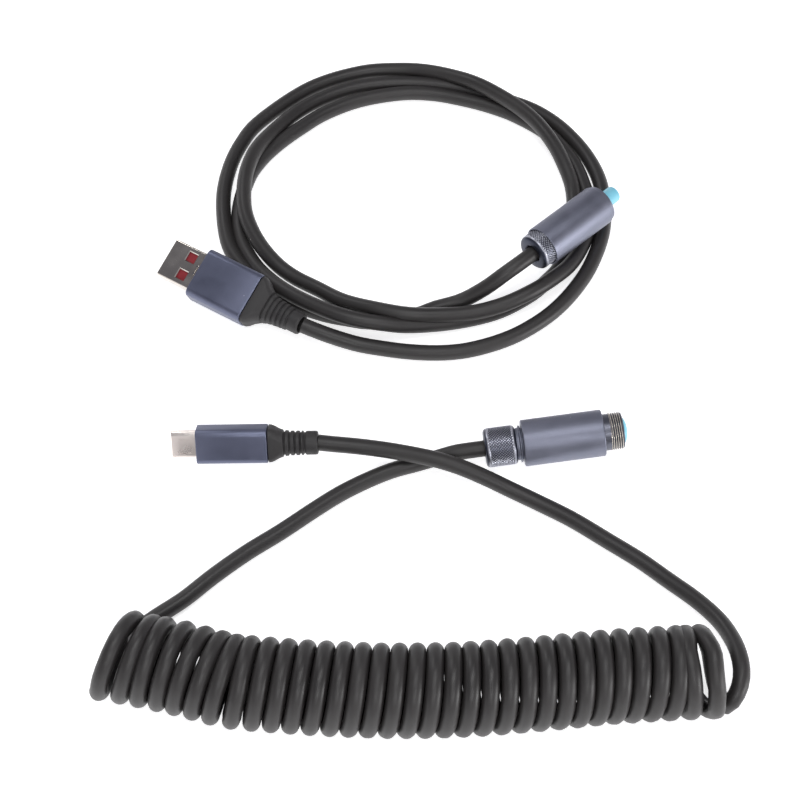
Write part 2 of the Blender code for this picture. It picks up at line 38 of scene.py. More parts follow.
# Cords.
CORD_DIAMETER = 0.0045
CORD_STEP = 0.0022

HOST_PLUG_LEAD = [
    (-0.0244, 0.00156, 0.0060), (-0.0210, 0.0003, 0.0054), (-0.0160, -0.0011, 0.0042),
    (-0.0090, -0.0026, 0.0027), (-0.0023, -0.0038, 0.0023), (0.0060, -0.0051, 0.0023),
    (0.0148, -0.0055, 0.0023), (0.0230, -0.0045, 0.0023), (0.0320, -0.0015, 0.0023),
    (0.0395, 0.0026, 0.0023), (0.0475, 0.0091, 0.0023), (0.0544, 0.0176, 0.0023), (0.0600, 0.0278, 0.0023),
]
HOST_CONNECTOR_LEAD = [
    (0.0479, 0.02824, 0.0125), (0.0431, 0.02382, 0.0125), (0.03835, 0.01947, 0.0125),
    (0.0336, 0.0162, 0.0112), (0.0280, 0.0140, 0.0074), (0.0212, 0.0121, 0.0038),
    (0.0135, 0.0104, 0.0024),
]
DEVICE_PLUG_LEAD = [
    (-0.0190, -0.03967, 0.00735), (-0.0155, -0.0401, 0.0073), (-0.0117, -0.0405, 0.0073),
    (-0.0060, -0.0412, 0.0073), (0.0005, -0.0423, 0.00735), (0.0080, -0.0440, 0.0075),
    (0.0143, -0.0457, 0.0075), (0.0205, -0.0476, 0.0067), (0.0270, -0.0498, 0.0050),
    (0.0335, -0.0524, 0.0033), (0.0414, -0.0563, 0.0024), (0.0500, -0.0614, 0.0023),
    (0.0595, -0.0683, 0.0023), (0.0675, -0.0742, 0.0023), (0.0745, -0.0803, 0.0024),
    (0.0814, -0.0869, 0.0033), (0.0865, -0.0940, 0.0052), (0.0892, -0.1010, 0.0074),
    (0.0902, -0.1070, 0.0092), (0.0903, -0.1118, 0.0092), (0.0893, -0.1157, 0.0078),
    (0.0872, -0.1182, 0.0054), (0.0856, -0.1174, 0.0033),
]
DEVICE_CONNECTOR_LEAD = [
    (0.03459, -0.03954, 0.00616), (0.02864, -0.04021, 0.00573), (0.0227, -0.04088, 0.0053),
    (0.0185, -0.04135, 0.0048), (0.0135, -0.0421, 0.0033), (0.0075, -0.0436, 0.0025),
    (0.0010, -0.0456, 0.0023), (-0.0060, -0.0490, 0.0023), (-0.0130, -0.0532, 0.0023),
    (-0.0200, -0.0584, 0.0023), (-0.0287, -0.0653, 0.0023), (-0.0376, -0.0718, 0.0023),
    (-0.0460, -0.0789, 0.0023), (-0.0535, -0.0860, 0.0023), (-0.0605, -0.0914, 0.0023),
    (-0.0655, -0.0957, 0.0023), (-0.0686, -0.0990, 0.0023), (-0.0703, -0.1025, 0.0023),
]

# The hand coil of the host cable: its middle, and its strand as angle, radius and height.
LOOPS_MIDDLE = (0.0073, 0.0490)
LOOPS = [
    (-8, 0.0572, 0.0023), (7, 0.0573, 0.0023), (19, 0.0568, 0.0023), (31, 0.0557, 0.0023),
    (41, 0.0546, 0.0023), (50, 0.0530, 0.0023), (64, 0.0506, 0.0023), (78, 0.0501, 0.0023),
    (94, 0.0504, 0.0023), (109, 0.0514, 0.0023), (122, 0.0519, 0.0023), (134, 0.0519, 0.0027),
    (148, 0.0514, 0.0042), (158, 0.0513, 0.0060), (168, 0.0510, 0.0068), (177, 0.0506, 0.0068),
    (187, 0.0501, 0.0062), (198, 0.0486, 0.0052), (209, 0.0467, 0.0042), (218, 0.0446, 0.0032),
    (229, 0.0426, 0.0034), (242, 0.0429, 0.0048), (256, 0.0433, 0.0064), (268, 0.0442, 0.0068),
    (280, 0.0443, 0.0058), (292, 0.0456, 0.0052), (303, 0.0476, 0.0060), (314, 0.0495, 0.0067),
    (323, 0.0506, 0.0059), (332, 0.0517, 0.0044), (341, 0.0523, 0.0034), (350, 0.0529, 0.0027),
    (360, 0.0528, 0.0023), (369, 0.0522, 0.0023), (380, 0.0518, 0.0023), (394, 0.0507, 0.0023),
    (408, 0.0486, 0.0023), (420, 0.0470, 0.0023), (432, 0.0461, 0.0023), (443, 0.0461, 0.0023),
    (455, 0.0460, 0.0023), (471, 0.0460, 0.0023), (486, 0.0463, 0.0023), (498, 0.0467, 0.0023),
    (508, 0.0480, 0.0023), (518, 0.0497, 0.0023), (528, 0.0510, 0.0023), (542, 0.0521, 0.0023),
    (554, 0.0525, 0.0023), (565, 0.0519, 0.0028), (575, 0.0514, 0.0046), (586, 0.0508, 0.0064),
    (598, 0.0496, 0.0068), (609, 0.0488, 0.0068), (619, 0.0476, 0.0060), (629, 0.0462, 0.0042),
    (645, 0.0453, 0.0027), (661, 0.0466, 0.0023), (674, 0.0477, 0.0023), (683, 0.0483, 0.0023),
    (692, 0.0489, 0.0023), (703, 0.0484, 0.0023), (713, 0.0482, 0.0026), (727, 0.0483, 0.0038),
    (739, 0.0476, 0.0060), (748, 0.0476, 0.0068), (758, 0.0481, 0.0068), (767, 0.0484, 0.0068),
    (776, 0.0488, 0.0068), (785, 0.0497, 0.0068), (793, 0.0512, 0.0058), (804, 0.0536, 0.0042),
    (814, 0.0554, 0.0030), (827, 0.0571, 0.0023), (844, 0.0577, 0.0023), (864, 0.0581, 0.0023),
    (875, 0.0581, 0.0023), (886, 0.0576, 0.0023), (898, 0.0570, 0.0023), (913, 0.0566, 0.0023),
    (923, 0.0556, 0.0023), (934, 0.0530, 0.0023), (946, 0.0507, 0.0023), (957, 0.0483, 0.0023),
    (966, 0.0464, 0.0023), (974, 0.0452, 0.0023), (983, 0.0428, 0.0023), (992, 0.0408, 0.0023),
]

# The curly cord: its axis on the table, its turns, and how far each one leans back.
COIL_AXIS = [
    (-0.0731, -0.1073), (-0.0682, -0.1081), (-0.0540, -0.1112), (-0.0420, -0.1146), (-0.0353, -0.1158),
    (-0.0166, -0.1173), (0.0020, -0.1180), (0.0202, -0.1176), (0.0389, -0.1160), (0.0578, -0.1140),
    (0.0788, -0.1127), (0.0850, -0.1126),
]
COIL_TURNS = 33
COIL_STEPS = 24
COIL_OUTER_RADIUS = 0.0121
COIL_AXIS_HEIGHT = 0.0121
COIL_LEAN = 0.0007
# Where along X the curly cord has got to after so many turns, as measured.
COIL_SPACING = [
    (0.0, -0.0710), (0.2, -0.0716), (0.65, -0.0661), (1.2, -0.0655), (1.65, -0.0614), (2.2, -0.0606),
    (3.2, -0.0556), (5.2, -0.0461), (7.2, -0.0375), (8.2, -0.0327), (10.2, -0.0231), (12.2, -0.0134),
    (16.2, 0.0054),
    (20.2, 0.0239), (24.2, 0.0429), (28.2, 0.0617), (30.2, 0.0714), (30.7, 0.0734), (31.2, 0.0768),
    (31.5, 0.0747), (31.95, 0.0777), (32.2, 0.0834), (32.4, 0.0812), (32.5, 0.0808), (32.65, 0.0786),
    (32.75, 0.0815), (32.85, 0.0836), (33.0, 0.0855),
]

# Plugs, as the CAD makes them.
USB_A_ROLL = -21.0
USB_A_SHELL = (0.0120, 0.0045)
USB_A_SHELL_WALL = 0.00032
USB_A_SHELL_OUT = 0.0113
USB_A_SHELL_IN = 0.0050
USB_A_WINDOW = (0.0029, 0.0057, 0.0029, 0.0014)
USB_A_HOUSING = (0.0154, 0.0080)
USB_A_HOUSING_CORNER = 0.0020
USB_A_HOUSING_LENGTH = 0.0184
USB_A_RELIEF_LENGTH = 0.0162
USB_C_ROLL = -56.0
USB_C_SHELL = (0.00834, 0.00256)
USB_C_SHELL_WALL = 0.0003
USB_C_SHELL_OUT = 0.0069
USB_C_SHELL_IN = 0.0040
USB_C_HOUSING = (0.0100, 0.0070)
USB_C_HOUSING_CORNER = 0.0018
USB_C_HOUSING_LENGTH = 0.0196
USB_C_RELIEF_LENGTH = 0.0136
RELIEF_BORE_RADIUS = 0.0023

# Aviator connectors, as the CAD makes them.
NUT_RADIUS = 0.00545
NUT_LENGTH = 0.0087
NUT_WALL = 0.0022
NUT_CAVITY_RADIUS = 0.00465
CORD_BORE_RADIUS = 0.0026
HOST_NUT_REAR = -0.0040
KNURL_COUNT = 42
KNURL_DEPTH = 0.00026
SLEEVE_RADIUS = 0.0061
SLEEVE_LENGTH = 0.0230
BARREL_REAR = 0.0105
BARREL_LENGTH = 0.0223
BARREL_RADIUS = 0.00645
THREAD_RADIUS = 0.0052
THREAD_DEPTH = 0.00035
THREAD_PITCH = 0.0006
THREAD_COLLAR = 0.0018
THREAD_END = 0.0382
ROUND_SIDES = 96
BARREL_SIDES = 128
CAP_SIDES = 64

# Edges: how far a corner has to turn to stay sharp, in degrees.
SHARP_ANGLE = 32.0
SOFT_SHARP_ANGLE = 60.0

# Studio: colours of the sky low down and overhead.
SKY_HORIZON = (0.72, 0.70, 0.72)
SKY_OVERHEAD = (0.17, 0.17, 0.19)


# ---------------------------------------------------------------- shapes

def smooth_route(points, spacing):
    """Read a Catmull-Rom curve through the route's points at an even spacing."""
    route = [Vector(point) for point in points]
    route = [2 * route[0] - route[1]] + route + [2 * route[-1] - route[-2]]
    dense = []
    for a, b, c, d in zip(route, route[1:], route[2:], route[3:]):
        for step in range(12):
            t = step / 12
            dense.append(0.5 * (2 * b + (c - a) * t + (2 * a - 5 * b + 4 * c - d) * t ** 2
                                + (3 * b - a - 3 * c + d) * t ** 3))
    dense.append(route[-2])
    length = sum((q - p).length for p, q in zip(dense, dense[1:]))
    count = max(2, round(length / spacing))
    wanted = [length * i / count for i in range(count + 1)]
    samples = [dense[0]]
    travelled = 0.0
    for p, q in zip(dense, dense[1:]):
        stretch = (q - p).length
        while len(samples) < count and travelled + stretch >= wanted[len(samples)]:
            samples.append(p.lerp(q, (wanted[len(samples)] - travelled) / stretch))
        travelled += stretch
    samples.append(dense[-1])
    return samples


def circle_loop(x, radius, sides=ROUND_SIDES):
    steps = (2.0 * math.pi * i / sides for i in range(sides))
    return [(x, radius * math.cos(a), radius * math.sin(a)) for a in steps]


def rect_loop(x, width, height, corner, corner_steps=10):
    """Points of a rounded rectangle across the X axis, width along Y and height along Z."""
    points = []
    for quarter in range(4):
        side_y = 1 if quarter in (0, 3) else -1
        side_z = 1 if quarter in (0, 1) else -1
        centre_y = side_y * (width / 2 - corner)
        centre_z = side_z * (height / 2 - corner)
        for step in range(corner_steps + 1):
            angle = math.pi / 2 * (quarter + step / corner_steps)
            points.append((x, centre_y + corner * math.cos(angle), centre_z + corner * math.sin(angle)))
    return points


def skin(loops, ring=False):
    """Join equal loops in order; a ring closes on itself, else both ends are capped."""
    bm = bmesh.new()
    rows = [[bm.verts.new(point) for point in loop] for loop in loops]
    pairs = list(zip(rows, rows[1:]))
    if ring:
        pairs.append((rows[-1], rows[0]))
    else:
        bm.faces.new(rows[0])
        bm.faces.new(rows[-1])
    for first, second in pairs:
        count = len(first)
        for i in range(count):
            j = (i + 1) % count
            bm.faces.new((first[i], first[j], second[j], second[i]))
    bmesh.ops.recalc_face_normals(bm, faces=bm.faces)
    return bm


def rounded(profile, radius, steps=4):
    """Ease each corner of a closed (x, radius) outline with a small arc."""
    eased = []
    count = len(profile)
    for i, corner in enumerate(profile):
        here = Vector(corner)
        before = Vector(profile[i - 1]) - here
        after = Vector(profile[(i + 1) % count]) - here
        reach = min(radius, before.length * 0.45, after.length * 0.45)
        start = here + before.normalized() * reach
        end = here + after.normalized() * reach
        for step in range(steps + 1):
            t = step / steps
            eased.append(tuple(start * (1 - t) ** 2 + 2 * here * t * (1 - t) + end * t ** 2))
    return eased


def lathe(profile, ring=True, sides=ROUND_SIDES):
    return skin([circle_loop(x, radius, sides) for x, radius in profile], ring)


def edge_stations(end, size, corner, edge, outward, steps=4):
    """Stations of a block's eased end: full size first, and its flat end last."""
    stations = []
    for step in range(steps + 1):
        angle = math.pi / 2 * step / steps
        inset = edge * (1 - math.cos(angle))
        x = end - outward * edge * (1 - math.sin(angle))
        stations.append((x, size[0] - 2 * inset, size[1] - 2 * inset, corner - inset))
    return stations


def connector_frame(point, forward, roll, local_point):
    """The frame of a connector that points forward, from one of its points."""
    heading = math.atan2(forward[1], forward[0])
    pitch = math.asin(forward[2])
    turn = Euler((math.radians(roll), -pitch, heading)).to_matrix()
    origin = Vector(point) - turn @ Vector(local_point)
    return Matrix.Translation(origin) @ turn.to_4x4()


def add_piece(name, bm, mat, frame_matrix, body, nodes, sharp=SHARP_ANGLE):
    mesh = bpy.data.meshes.new(name)
    bm.to_mesh(mesh)
    bm.free()
    mesh.materials.append(mat)
    mesh.shade_smooth()
    mesh.set_sharp_from_angle(angle=math.radians(sharp))
    obj = bpy.data.objects.new(name, mesh)
    obj.matrix_world = frame_matrix
    bpy.context.scene.collection.objects.link(obj)
    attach(obj, body)
    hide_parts(*nodes)
    return obj


def cut_away(obj, cutters):
    """Take closed shapes away from a piece, in its own frame."""
    modifiers = []
    for index, bm in enumerate(cutters):
        mesh = bpy.data.meshes.new("cutter_%d" % index)
        bm.to_mesh(mesh)
        bm.free()
        cutter = bpy.data.objects.new(mesh.name, mesh)
        cutter.matrix_world = obj.matrix_world
        bpy.context.scene.collection.objects.link(cutter)
        modifier = obj.modifiers.new("cut_%d" % index, "BOOLEAN")
        modifier.operation = "DIFFERENCE"
        modifier.solver = "EXACT"
        modifier.object = cutter
        modifiers.append(modifier)
    bpy.context.view_layer.update()
    result = bpy.data.meshes.new_from_object(obj.evaluated_get(bpy.context.evaluated_depsgraph_get()))
    for modifier in modifiers:
        cutter = modifier.object
        obj.modifiers.remove(modifier)
        bpy.data.objects.remove(cutter, do_unlink=True)
    obj.data = result
    obj.data.shade_smooth()
    obj.data.set_sharp_from_angle(angle=math.radians(SHARP_ANGLE))


def block(low, high):
    bm = bmesh.new()
    bmesh.ops.create_cube(bm, size=1.0)
    size = Vector(high) - Vector(low)
    middle = (Vector(high) + Vector(low)) / 2
    bmesh.ops.scale(bm, vec=size, verts=bm.verts)
    bmesh.ops.translate(bm, vec=middle, verts=bm.verts)
    return bm


def flare(x_range, y_range, low, high, spread_by):
    """A rectangular opening that widens from its low height to its high one."""
    loops = []
    for z, grow in ((low, 0.0), (high, spread_by)):
        loops.append([(x_range[0] - grow, y_range[0] - grow, z), (x_range[1] + grow, y_range[0] - grow, z),
                      (x_range[1] + grow, y_range[1] + grow, z), (x_range[0] - grow, y_range[1] + grow, z)])
    return skin(loops)


# ---------------------------------------------------------------- materials

def link(mat, start, end):
    mat.node_tree.links.new(start, end)


def add_node(mat, kind, **values):
    node = mat.node_tree.nodes.new(kind)
    for key, value in values.items():
        setattr(node, key, value)
    return node


def noise(mat, coordinates, scale, detail=3.0, roughness=0.5, stretch=(1.0, 1.0, 1.0)):
    mapping = add_node(mat, "ShaderNodeMapping")
    mapping.inputs["Scale"].default_value = stretch
    link(mat, coordinates, mapping.inputs["Vector"])
    texture = add_node(mat, "ShaderNodeTexNoise")
    texture.inputs["Scale"].default_value = scale
    texture.inputs["Detail"].default_value = detail
    texture.inputs["Roughness"].default_value = roughness
    link(mat, mapping.outputs["Vector"], texture.inputs["Vector"])
    return texture.outputs["Fac"]


def spread(mat, value, low, high, start=0.3, end=0.7):
    """Map a value from start to end onto low to high."""
    node = add_node(mat, "ShaderNodeMapRange")
    node.inputs["From Min"].default_value = start
    node.inputs["From Max"].default_value = end
    node.inputs["To Min"].default_value = low
    node.inputs["To Max"].default_value = high
    link(mat, value, node.inputs["Value"])
    return node.outputs["Result"]


def blend_colours(mat, factor, first, second):
    node = add_node(mat, "ShaderNodeMix", data_type="RGBA")
    link(mat, factor, node.inputs["Factor"])
    for socket, colour in ((node.inputs["A"], first), (node.inputs["B"], second)):
        if isinstance(colour, tuple):
            socket.default_value = (*colour, 1.0)
        else:
            link(mat, colour, socket)
    return node.outputs["Result"]


def surface(name, dark, light, roughness, metallic, patch, grain, bump, stretch=(1.0, 1.0, 1.0)):
    """A finish with patchy colour, uneven roughness and a fine grained surface.

    patch and grain are noise scales per metre; bump is the grain's height in metres.
    """
    mat = bpy.data.materials.new(name)
    mat.use_nodes = True
    shader = mat.node_tree.nodes["Principled BSDF"]
    place = add_node(mat, "ShaderNodeTexCoord").outputs["Object"]
    patches = noise(mat, place, patch, detail=4.0)
    grains = noise(mat, place, grain, detail=2.0, stretch=stretch)
    mixed = add_node(mat, "ShaderNodeMath", operation="MULTIPLY_ADD")
    link(mat, grains, mixed.inputs[0])
    mixed.inputs[1].default_value = 0.4
    scaled = spread(mat, patches, 0.0, 0.6)
    link(mat, scaled, mixed.inputs[2])
    colour = blend_colours(mat, mixed.outputs[0], dark, light)
    link(mat, colour, shader.inputs["Base Color"])
    link(mat, spread(mat, patches, roughness - 0.06, roughness + 0.06), shader.inputs["Roughness"])
    shader.inputs["Metallic"].default_value = metallic
    relief = add_node(mat, "ShaderNodeBump")
    relief.inputs["Strength"].default_value = 1.0
    relief.inputs["Distance"].default_value = bump
    link(mat, grains, relief.inputs["Height"])
    link(mat, relief.outputs["Normal"], shader.inputs["Normal"])
    return mat, shader, place, colour


def add_specks(mat, shader, place, colour, scale, size, share, tint):
    """Sparse tiny specks of dust or wear."""
    cells = add_node(mat, "ShaderNodeTexVoronoi")
    cells.inputs["Scale"].default_value = scale
    link(mat, place, cells.inputs["Vector"])
    near = add_node(mat, "ShaderNodeMath", operation="LESS_THAN")
    link(mat, cells.outputs["Distance"], near.inputs[0])
    near.inputs[1].default_value = size
    pick = add_node(mat, "ShaderNodeSeparateColor")
    link(mat, cells.outputs["Color"], pick.inputs["Color"])
    chosen = add_node(mat, "ShaderNodeMath", operation="LESS_THAN")
    link(mat, pick.outputs["Red"], chosen.inputs[0])
    chosen.inputs[1].default_value = share
    both = add_node(mat, "ShaderNodeMath", operation="MULTIPLY")
    link(mat, near.outputs[0], both.inputs[0])
    link(mat, chosen.outputs[0], both.inputs[1])
    result = blend_colours(mat, both.outputs[0], colour, tint)
    link(mat, result, shader.inputs["Base Color"])


def add_crest_highlight(mat, shader, place, colour, low, high, tint):
    """Brighten what stands furthest from the X axis: a painted highlight on thread and knurl crests, with the
    valleys left darker as painted shade.
    """
    split = add_node(mat, "ShaderNodeSeparateXYZ")
    link(mat, place, split.inputs[0])
    flat = add_node(mat, "ShaderNodeCombineXYZ")
    link(mat, split.outputs["Y"], flat.inputs["Y"])
    link(mat, split.outputs["Z"], flat.inputs["Z"])
    length = add_node(mat, "ShaderNodeVectorMath", operation="LENGTH")
    link(mat, flat.outputs[0], length.inputs[0])
    crest = spread(mat, length.outputs["Value"], 0.0, 1.0, low, high)
    result = blend_colours(mat, crest, colour, tint)
    link(mat, result, shader.inputs["Base Color"])


def make_materials():
    mats = {}
    mat, shader, place, colour = surface(
        "cord_jacket", (0.019, 0.0175, 0.0175), (0.031, 0.0285, 0.028), 0.46, 0.0, 55.0, 2600.0, 0.00001)
    add_specks(mat, shader, place, colour, 170.0, 0.028, 0.35, (0.30, 0.28, 0.26))
    mats["cord"] = mat
    mat, shader, place, colour = surface(
        "relief_rubber", (0.020, 0.019, 0.020), (0.036, 0.034, 0.034), 0.55, 0.0, 160.0, 3500.0, 0.00002)
    add_specks(mat, shader, place, colour, 260.0, 0.03, 0.3, (0.25, 0.24, 0.22))
    mats["relief"] = mat
    mat, shader, place, colour = surface(
        "anodised_housing", (0.125, 0.138, 0.20), (0.17, 0.183, 0.26), 0.42, 0.9, 120.0, 6000.0, 0.000015)
    add_specks(mat, shader, place, colour, 300.0, 0.035, 0.2, (0.55, 0.56, 0.66))
    mats["slate"] = mat
    mat, shader, place, colour = surface(
        "blasted_gunmetal", (0.175, 0.185, 0.235), (0.245, 0.255, 0.32), 0.46, 0.95, 140.0, 6500.0, 0.00003)
    add_specks(mat, shader, place, colour, 420.0, 0.06, 0.2, (0.62, 0.64, 0.74))
    mats["gunmetal"] = mat
    mat, shader, place, colour = surface(
        "knurled_gunmetal", (0.035, 0.04, 0.06), (0.07, 0.075, 0.105), 0.36, 0.9, 200.0, 7000.0, 0.00001)
    # Painted highlight on the knurl diamonds; the grooves keep the darker colour as painted shade.
    add_crest_highlight(mat, shader, place, colour, NUT_RADIUS - KNURL_DEPTH * 0.75, NUT_RADIUS,
                   (0.52, 0.53, 0.60))
    mats["knurl"] = mat
    mat, shader, place, colour = surface(
        "thread_painted_crest_highlight", (0.10, 0.105, 0.13), (0.16, 0.165, 0.20), 0.36, 0.9, 200.0, 7000.0, 0.00001)
    # Painted highlight on the thread crests; the valleys keep the darker colour as painted shade.
    add_crest_highlight(mat, shader, place, colour, THREAD_RADIUS - THREAD_DEPTH * 0.35, THREAD_RADIUS,
                   (0.72, 0.66, 0.58))
    mats["thread"] = mat
    mats["nickel"] = surface(
        "nickel_plate", (0.56, 0.52, 0.48), (0.66, 0.62, 0.57), 0.16, 1.0, 200.0, 5200.0, 0.000001,
        stretch=(0.15, 1.0, 1.0))[0]
    mats["champagne"] = surface(
        "champagne_plate", (0.86, 0.79, 0.745), (0.91, 0.84, 0.79), 0.30, 1.0, 120.0, 5200.0, 0.000001,
        stretch=(0.15, 1.0, 1.0))[0]
    mats["gold"] = surface(
        "gold_contact", (0.72, 0.50, 0.20), (0.88, 0.66, 0.32), 0.24, 1.0, 500.0, 6000.0, 0.000004)[0]
    mats["red"] = surface(
        "red_insulator", (0.20, 0.010, 0.016), (0.32, 0.020, 0.028), 0.42, 0.0, 260.0, 5000.0, 0.00001)[0]
    mats["cyan"] = surface(
        "cyan_cap", (0.18, 0.55, 0.72), (0.31, 0.70, 0.84), 0.36, 0.0, 240.0, 4200.0, 0.00001)[0]
    mats["moulding"] = surface(
        "dark_moulding", (0.020, 0.020, 0.024), (0.045, 0.045, 0.05), 0.5, 0.0, 220.0, 4500.0, 0.00001)[0]
    mats["board"] = surface(
        "circuit_board", (0.010, 0.09, 0.045), (0.02, 0.16, 0.08), 0.4, 0.0, 700.0, 3000.0, 0.00002)[0]
    return mats


# ---------------------------------------------------------------- cords

def loop_points():
    points = []
    for angle, radius, height in LOOPS:
        turn = math.radians(angle)
        points.append((LOOPS_MIDDLE[0] + radius * math.cos(turn),
                       LOOPS_MIDDLE[1] + radius * math.sin(turn), height))
    return points


def read_between(table, value):
    """Read a table of (value, result) pairs in straight lines between its rows."""
    for (start, first), (end, last) in zip(table, table[1:]):
        if value <= end:
            return first + (last - first) * (value - start) / (end - start)
    return table[-1][1]


def coil_points():
    """The curly cord's turns, from the first turn's bottom to the last turn's bottom."""
    axis = smooth_route([(x, y, 0.0) for x, y in COIL_AXIS], 0.001)
    radius = COIL_OUTER_RADIUS - CORD_DIAMETER / 2
    points = []
    for step in range(COIL_TURNS * COIL_STEPS + 1):
        turns = step / COIL_STEPS
        angle = 2 * math.pi * turns
        x = read_between(COIL_SPACING, turns) - COIL_LEAN * math.cos(angle)
        nearest = min(range(len(axis) - 1), key=lambda i: abs(axis[i].x - x))
        nearest = max(1, min(len(axis) - 2, nearest))
        along = (axis[nearest + 1] - axis[nearest - 1]).normalized()
        centre = axis[nearest] + along * ((x - axis[nearest].x) / along.x)
        front = Vector((along.y, -along.x, 0.0))
        points.append(centre + radius * math.sin(angle) * front
                      + Vector((0.0, 0.0, COIL_AXIS_HEIGHT - radius * math.cos(angle))))
    return points


def add_cord(name, points, mat, body, nodes):
    curve = bpy.data.curves.new(name, "CURVE")
    curve.dimensions = "3D"
    curve.bevel_depth = CORD_DIAMETER / 2
    curve.bevel_resolution = 8
    curve.use_fill_caps = True
    spline = curve.splines.new("POLY")
    spline.points.add(len(points) - 1)
    for spot, point in zip(spline.points, points):
        spot.co = (*point, 1.0)
    spline.use_smooth = True
    curve.materials.append(mat)
    obj = bpy.data.objects.new(name, curve)
    bpy.context.scene.collection.objects.link(obj)
    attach(obj, body)
    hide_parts(*nodes)
    return obj


def build_cords(mats):
    host = smooth_route(HOST_PLUG_LEAD + loop_points() + HOST_CONNECTOR_LEAD[::-1], CORD_STEP)
    add_cord("host_cord", host, mats["cord"], "host_cable",
             ("host_cord_loops", "host_cord_plug_lead", "host_cord_connector_lead"))
    coil = coil_points()
    route = DEVICE_PLUG_LEAD + [tuple(p) for p in coil[::-1]] + DEVICE_CONNECTOR_LEAD[::-1]
    device = smooth_route(route, CORD_STEP)
    add_cord("device_cord", device, mats["cord"], "device_cable",
             ("device_cord_coil", "device_cord_plug_lead", "device_cord_connector_lead"))


# ---------------------------------------------------------------- plugs

def ribbed_relief(rear, stations, ribs, rib_depth, end, end_radius):
    """A strain relief from its shoulder to its collar, with grooves between its ribs."""
    loops = []
    steps = 150
    first = stations[0][0]
    for i in range(steps + 1):
        x = first + (end - first) * i / steps
        before = [s for s in stations if s[0] >= x - 1e-9][-1]
        after = [s for s in stations if s[0] <= x + 1e-9]
        after = after[0] if after else stations[-1]
        span = before[0] - after[0]
        t = 0.0 if span < 1e-9 else (before[0] - x) / span
        width, height, corner = (before[k] + (after[k] - before[k]) * t for k in (1, 2, 3))
        groove = 0.0
        for middle, half in ribs:
            away = abs(x - middle) / half
            if away < 1:
                groove = max(groove, math.cos(away * math.pi / 2) ** 0.7)
        cutback = 2 * rib_depth * groove
        width -= cutback
        height -= cutback
        corner = min(corner, width / 2 - 1e-6, height / 2 - 1e-6)
        loops.append(rect_loop(x, width, height, corner))
    radius = end_radius
    for edge, shrink in ((0.0001, 0.00005), (0.0002, 0.0002), (0.00022, 0.0004)):
        eased = radius - shrink
        loops.append(rect_loop(end - edge, 2 * eased, 2 * eased, eased - 1e-6))
    bore = RELIEF_BORE_RADIUS
    loops.append(rect_loop(end - 0.00022, 2 * bore + 0.0002, 2 * bore + 0.0002, bore + 0.0001 - 1e-6))
    loops.append(rect_loop(end, 2 * bore, 2 * bore, bore - 1e-6))
    loops.append(rect_loop(end + 0.0025, 2 * bore, 2 * bore, bore - 1e-6))
    return skin(loops)


def housing_loops(rear, size, corner, slot, slot_corner, cavity, cavity_corner, edge):
    """A hollow block: outside from rear to front, then back inside the shell's slot and the cavity."""
    back = edge_stations(rear, size, corner, edge, -1)[::-1]
    front = edge_stations(0.0, size, corner, edge, 1)
    loops = [rect_loop(*station) for station in back + front]
    loops.append(rect_loop(0.0, slot[0] + 0.0002, slot[1] + 0.0002, slot_corner + 0.0001))
    loops.append(rect_loop(-0.0001, slot[0], slot[1], slot_corner))
    loops.append(rect_loop(-0.0012, slot[0], slot[1], slot_corner))
    loops.append(rect_loop(-0.0012, cavity[0], cavity[1], cavity_corner))
    loops.append(rect_loop(rear, cavity[0], cavity[1], cavity_corner))
    return loops


def shell_loops(size, corner, wall, out, inside, lip):
    inner = (size[0] - 2 * wall, size[1] - 2 * wall)
    inner_corner = max(corner - wall, 0.0002)
    nose = [(out - lip, 0.0), (out - lip * 0.4, lip * 0.25), (out, lip)]
    loops = [rect_loop(-inside, size[0], size[1], corner)]
    for x, inset in nose:
        loops.append(rect_loop(x, size[0] - inset, size[1] - inset, corner - inset / 2))
    loops.append(rect_loop(out, inner[0] + lip * 0.5, inner[1] + lip * 0.5, inner_corner + lip * 0.25))
    loops.append(rect_loop(out - lip, inner[0], inner[1], inner_corner))
    loops.append(rect_loop(-inside, inner[0], inner[1], inner_corner))
    return loops


